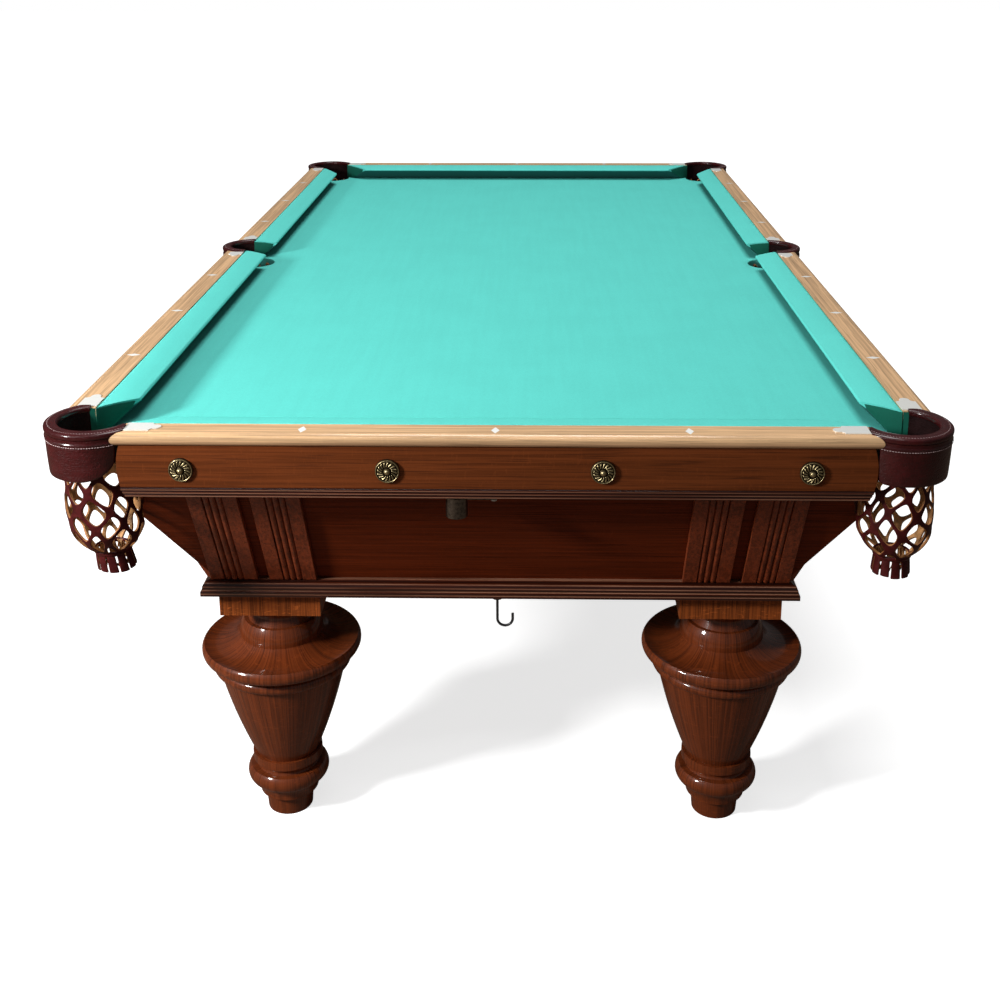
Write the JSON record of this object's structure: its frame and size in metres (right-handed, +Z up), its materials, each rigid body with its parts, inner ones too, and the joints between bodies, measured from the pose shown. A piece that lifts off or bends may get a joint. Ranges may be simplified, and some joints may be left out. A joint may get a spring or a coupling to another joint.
{
  "type": "billiard table",
  "caption": "Antique-style pocket billiard table with slate bed, green cloth, leather-ringed pockets with strap nets, canted cabinet and turned legs.",
  "frame": {"origin": "Middle of the table's footprint, on the floor.", "axes": "+Z up, +Y along the table to its far end, +X to the right of a player at the near end."},
  "size_m": [1.4024, 2.5608, 0.847],
  "materials": {
    "oak_cap": "polished oak, light orange brown",
    "oak_rail": "varnished oak, dark red brown",
    "oak_panel": "varnished oak, dark red brown",
    "oak_trim": "varnished oak mouldings",
    "oak_block": "varnished oak, vertical grain",
    "oak_leg": "turned oak, glossy varnish",
    "inner_wood": "plain unfinished wood",
    "bed_cloth": "green wool cloth",
    "cushion_cloth": "green wool cloth over the cushions",
    "cushion_rubber": "natural gum rubber",
    "slate": "ground slate",
    "pocket_leather": "dark burgundy leather",
    "net_leather": "burgundy leather straps with tan edges",
    "iron": "plain casting",
    "nickel": "nickel plate",
    "aged_brass": "antique brass",
    "pearl": "mother-of-pearl, white",
    "bolt_steel": "plain steel",
    "black_metal": "black painted"
  },
  "bodies": {
    "table": {"rail_cap_near": "oak_cap", "rail_near": "oak_rail", "cushion_rubber_near": "cushion_rubber", "rail_cap_far": "oak_cap", "rail_far": "oak_rail", "cushion_rubber_far": "cushion_rubber", "rail_cap_left_near": "oak_cap", "rail_left_near": "oak_rail", "cushion_rubber_left_near": "cushion_rubber", "rail_cap_left_far": "oak_cap", "rail_left_far": "oak_rail", "cushion_rubber_left_far": "cushion_rubber", "rail_cap_right_far": "oak_cap", "rail_right_far": "oak_rail", "cushion_rubber_right_far": "cushion_rubber", "rail_cap_right_near": "oak_cap", "rail_right_near": "oak_rail", "cushion_rubber_right_near": "cushion_rubber", "pocket_leather_near_left": "pocket_leather", "pocket_net_near_left": "net_leather", "pocket_leather_near_right": "pocket_leather", "pocket_net_near_right": "net_leather", "pocket_leather_far_right": "pocket_leather", "pocket_net_far_right": "net_leather", "pocket_leather_far_left": "pocket_leather", "pocket_net_far_left": "net_leather", "pocket_leather_middle_left": "pocket_leather", "pocket_net_middle_left": "net_leather", "pocket_leather_middle_right": "pocket_leather", "pocket_net_middle_right": "net_leather", "cushion_cloths": "cushion_cloth", "feather_strips": "inner_wood", "slate_near": "slate", "slate_middle": "slate", "slate_far": "slate", "bed_cloth": "bed_cloth", "pocket_irons": "iron", "sights": "pearl", "rail_bolts": "bolt_steel", "rosette_caps": "aged_brass", "pocket_plates": "nickel", "end_panel_near": "oak_panel", "end_panel_far": "oak_panel", "side_panel_left": "oak_panel", "side_panel_right": "oak_panel", "base_mouldings": "oak_trim", "bead_mouldings": "oak_trim", "pilasters": "oak_trim", "base_frame": "inner_wood", "leg_blocks": "oak_block", "slate_frame": "inner_wood", "leg_near_left": "oak_leg", "leg_near_right": "oak_leg", "leg_far_right": "oak_leg", "leg_far_left": "oak_leg", "leg_bolts": "bolt_steel", "chalk_bracket": "black_metal", "chalk_pivot_screw": "bolt_steel", "bridge_hook": "black_metal"},
    "chalk_arm": {"chalk_holder": "black_metal"}
  },
  "joints": [
    {"name": "chalk_swing", "type": "hinge", "parent": "table", "child": "chalk_arm", "pos_m": [-0.003, -1.2384, 0.7338], "axis": [0, 0, 1], "range_deg": [0, 90]}
  ]
}
